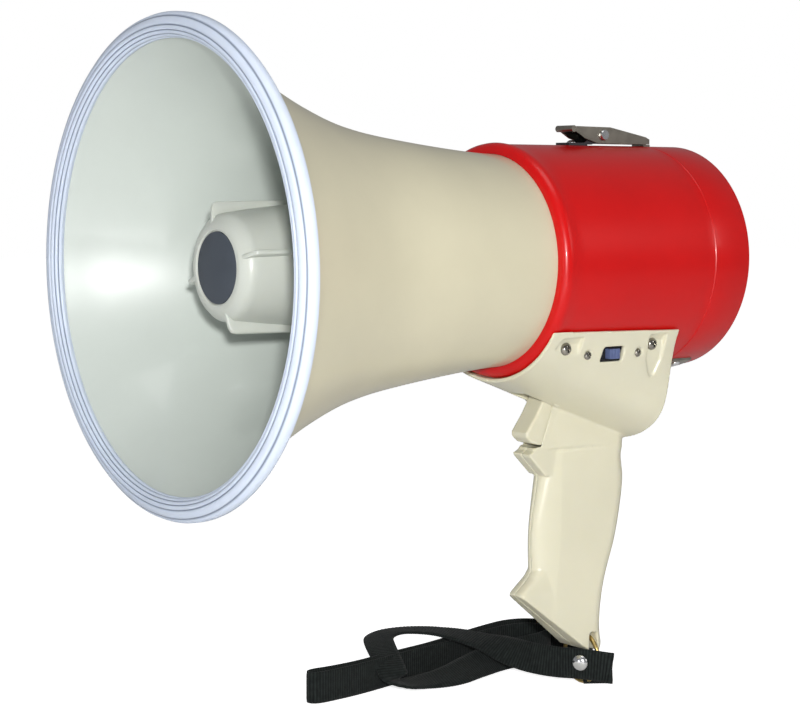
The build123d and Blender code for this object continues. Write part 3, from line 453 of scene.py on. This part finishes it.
ring_tree = bpy.data.node_groups.new("fins_round_the_cup", "GeometryNodeTree")
sockets = {}
for label, kind in (("Fin", "Geometry"), ("Count", "Int"), ("First turn", "Float"), ("Middle", "Vector"),
                    ("Finish", "Material")):
    sockets[label] = ring_tree.interface.new_socket(label, in_out="INPUT", socket_type="NodeSocket" + kind)
ring_tree.interface.new_socket("Fins", in_out="OUTPUT", socket_type="NodeSocketGeometry")
given = ring_tree.nodes.new("NodeGroupInput")
made_fins = ring_tree.nodes.new("NodeGroupOutput")
places_of = ring_tree.nodes.new("GeometryNodeMeshLine")
places_of.inputs["Offset"].default_value = (0, 0, 0)
number = ring_tree.nodes.new("GeometryNodeInputIndex")
pitch = ring_tree.nodes.new("ShaderNodeMath")
pitch.operation = "DIVIDE"
pitch.inputs[0].default_value = 2 * pi
turn = ring_tree.nodes.new("ShaderNodeMath")
turn.operation = "MULTIPLY_ADD"
about_x = ring_tree.nodes.new("ShaderNodeCombineXYZ")
spaced = ring_tree.nodes.new("GeometryNodeInstanceOnPoints")
real = ring_tree.nodes.new("GeometryNodeRealizeInstances")
coloured = ring_tree.nodes.new("GeometryNodeSetMaterial")
ring_tree.links.new(given.outputs["Count"], places_of.inputs["Count"])
ring_tree.links.new(given.outputs["Middle"], places_of.inputs["Start Location"])
ring_tree.links.new(given.outputs["Count"], pitch.inputs[1])
ring_tree.links.new(number.outputs["Index"], turn.inputs[0])
ring_tree.links.new(pitch.outputs["Value"], turn.inputs[1])
ring_tree.links.new(given.outputs["First turn"], turn.inputs[2])
ring_tree.links.new(turn.outputs["Value"], about_x.inputs["X"])
ring_tree.links.new(places_of.outputs["Mesh"], spaced.inputs["Points"])
ring_tree.links.new(given.outputs["Fin"], spaced.inputs["Instance"])
ring_tree.links.new(about_x.outputs["Vector"], spaced.inputs["Rotation"])
ring_tree.links.new(spaced.outputs["Instances"], real.inputs["Geometry"])
ring_tree.links.new(real.outputs["Geometry"], coloured.inputs["Geometry"])
ring_tree.links.new(given.outputs["Finish"], coloured.inputs["Material"])
ring_tree.links.new(coloured.outputs["Geometry"], made_fins.inputs["Fins"])

pattern = bpy.data.objects.new("fin_pattern", single)
scene.collection.objects.link(pattern)
repeat = pattern.modifiers.new("repeat", "NODES")
repeat.node_group = ring_tree
repeat[sockets["Count"].identifier] = FIN_COUNT
repeat[sockets["First turn"].identifier] = FIN_FIRST_TURN
repeat[sockets["Middle"].identifier] = tuple(MOUTH)
repeat[sockets["Finish"].identifier] = boss_plastic
bpy.context.view_layer.update()
mesh = bpy.data.meshes.new_from_object(pattern.evaluated_get(bpy.context.evaluated_depsgraph_get()))
bpy.data.objects.remove(pattern)
fins = show("reflector_fins", mesh, "housing", "boss_plastic")
soften = fins.modifiers.new("edge", "BEVEL")
soften.width = FIN_EDGE
soften.segments = 3
soften.limit_method = "ANGLE"
mesh.shade_smooth()

# ---- Compression driver: a black housing on the neck of the bell holds a film diaphragm, and
# behind it a ferrite ring magnet between two steel plates.
steel = finish_of("nickel_steel", (0.36, 0.33, 0.28), 0.32, metal=1.0, shade=0.12, mottle=150, grain=2200,
                  bump=0.06)
black = finish_of("black_plastic", (0.012, 0.012, 0.014), 0.45, shade=0.2, mottle=80, grain=1800, bump=0.08)
fit(black, "driver_housing")
fit(finish_of("diaphragm_film", (0.5, 0.4, 0.2), 0.35, shade=0.1), "driver_diaphragm")
fit(finish_of("ferrite", (0.04, 0.04, 0.045), 0.8, shade=0.2, bump=0.3), "driver_magnet")
fit(steel, "driver_yoke", "driver_top_plate")

# ---- Barrel: a glossy red moulding. Its front edge is rolled over the neck of the bell in a round
# bead, and its rear edge ends in a fine raised lip that the cap meets.
BARREL = [(-187.3, 54.1), (-187.4, 55.6), (-187.9, 57.2), (-188.8, 58.5), (-190.3, 59.4), (-192, 59.7),
          (-194, 59.45), (-197, 59.05), (-201, 59.0), (-240, 59.1), (-286, 59.2), (-290.6, 59.2),
          (-291.2, 59.32), (-291.5, 59.1), (-291.5, 56.7), (-202, 56.7), (-202, 54.6), (-188.6, 54.1)]
red = finish_of("red_gloss", (0.52, 0.0015, 0.0015), 0.32, shade=0.05, mottle=20, grain=1500, bump=0.02,
                coat=0.12)
red.node_tree.nodes["Principled BSDF"].inputs["Specular IOR Level"].default_value = 0.3
mesh = turned("barrel", BARREL)
mesh.materials.append(red)
show("barrel_red", mesh, "housing", "red_shell", "barrel")

# ---- Batteries: six size C cells stand in a black drum in the barrel. Brass contacts link them in
# front, and a brass plate in the cap links them behind.
fit(finish_of("cell_jacket", (0.08, 0.10, 0.14), 0.3, shade=0.1, coat=0.3), "battery_cells")
fit(black, "battery_holder")
fit(brass, "battery_contacts", "cap_contact_plate")

# ---- Rear cap: the same red moulding as the barrel, with a rubber seal. The microphone sits behind
# holes in its middle, with the volume control and its knob below.
fit(red, "rear_cap")
fit(finish_of("seal_rubber", (0.015, 0.015, 0.015), 0.75, shade=0.2, bump=0.1), "cap_gasket")
fit(black, "microphone_capsule", "microphone_holder", "volume_knob")
fit(steel, "volume_control")

# ---- Hinge: two nickel-plated steel leaves under the barrel, one riveted to it and one to the cap,
# on a bright steel pin.
fit(steel, "hinge_leaf_fixed", "hinge_leaf_cap")
fit(bright, "hinge_pin", "hinge_rivets_fixed", "hinge_rivets_cap")

# ---- Latch: a nickel-plated channel that rocks on a rivet in a dark steel bracket on top of the
# barrel. A leaf spring holds its rear end down over the catch on the cap.
dark_steel = finish_of("dark_steel", (0.10, 0.10, 0.11), 0.35, metal=1.0, shade=0.12, mottle=150, grain=2200,
                       bump=0.06)
fit(dark_steel, "latch_bracket")
fit(steel, "latch_lever", "latch_catch")
fit(bright, "latch_foot_rivet", "latch_rivet", "latch_spring")

# ---- Handle and trigger: ivory mouldings with softly rounded edges. The handle is two halves, grip
# and saddle in one, that meet on the centre plane; the trigger rocks on a pin between them. A skin
# of plastic covers the barrel behind the rear screw pockets.
MOULDED_EDGE = 0.0006
SOFTENING = 6
KEPT_FACES = 0.45
SKIN_X = (-268.4, -254.6)
SKIN_RADII = (59.45, 60.4)
SKIN_Z = (-35.9, -38.6, -41.2)
ivory = finish_of("ivory_plastic", (0.66, 0.63, 0.48), 0.3, shade=0.025, mottle=30, grain=1500, bump=0.05,
                  coat=0.15, skin=0.2)
for name, body, hand in (("handle_left", "housing", 1), ("handle_right", "housing", -1),
                         ("trigger", "trigger", 0)):
    draft = bpy.data.objects.new(name + "_draft", nodes[name].data.copy())
    scene.collection.objects.link(draft)
    if hand:
        b = bmesh.new()
        b.from_mesh(draft.data)
        skin = [b.verts.new(at(x, hand * sqrt(r * r - z * z), z)) for x in SKIN_X for r in SKIN_RADII
                for z in SKIN_Z]
        bmesh.ops.convex_hull(b, input=skin)
        b.to_mesh(draft.data)
        b.free()
    whole = draft.modifiers.new("whole", "REMESH")
    whole.mode = "VOXEL"
    whole.voxel_size = MOULDED_EDGE
    ease = draft.modifiers.new("ease", "SMOOTH")
    ease.factor = 0.5
    ease.iterations = SOFTENING
    thin = draft.modifiers.new("thin", "DECIMATE")
    thin.ratio = KEPT_FACES
    bpy.context.view_layer.update()
    mesh = bpy.data.meshes.new_from_object(draft.evaluated_get(bpy.context.evaluated_depsgraph_get()))
    bpy.data.objects.remove(draft)
    mesh.shade_smooth()
    mesh.materials.clear()
    mesh.materials.append(ivory)
    show(name + "_moulded", mesh, body, "ivory_shell", name)

# ---- Handle screws: cross-head screws with plated heads. The large ones sit in pockets in the
# saddle and draw the two halves together, and the small ones stand beside the slide switch.
plated = finish_of("plated_screw", (0.34, 0.32, 0.28), 0.14, metal=1.0, shade=0.25, mottle=500, grain=2600,
                   bump=0.05)
fit(plated, "saddle_screws_large", "saddle_screws_small")

# ---- Switches: the trigger turns on a bright pin against a coil spring and presses a push switch.
# The slide switch sits behind a window in the saddle, with a blue knob.
fit(bright, "trigger_pin", "trigger_spring")
fit(black, "trigger_switch", "slide_switch_body")
fit(finish_of("blue_plastic", (0.10, 0.13, 0.26), 0.35, shade=0.1), "slide_knob")

# ---- Amplifier: a green circuit board in the hollow of the saddle, with red leads that run through
# the barrel to the driver.
fit(finish_of("board_green", (0.02, 0.14, 0.05), 0.4, shade=0.15), "amplifier_board")
fit(finish_of("wire_pvc", (0.4, 0.02, 0.02), 0.4), "wiring")
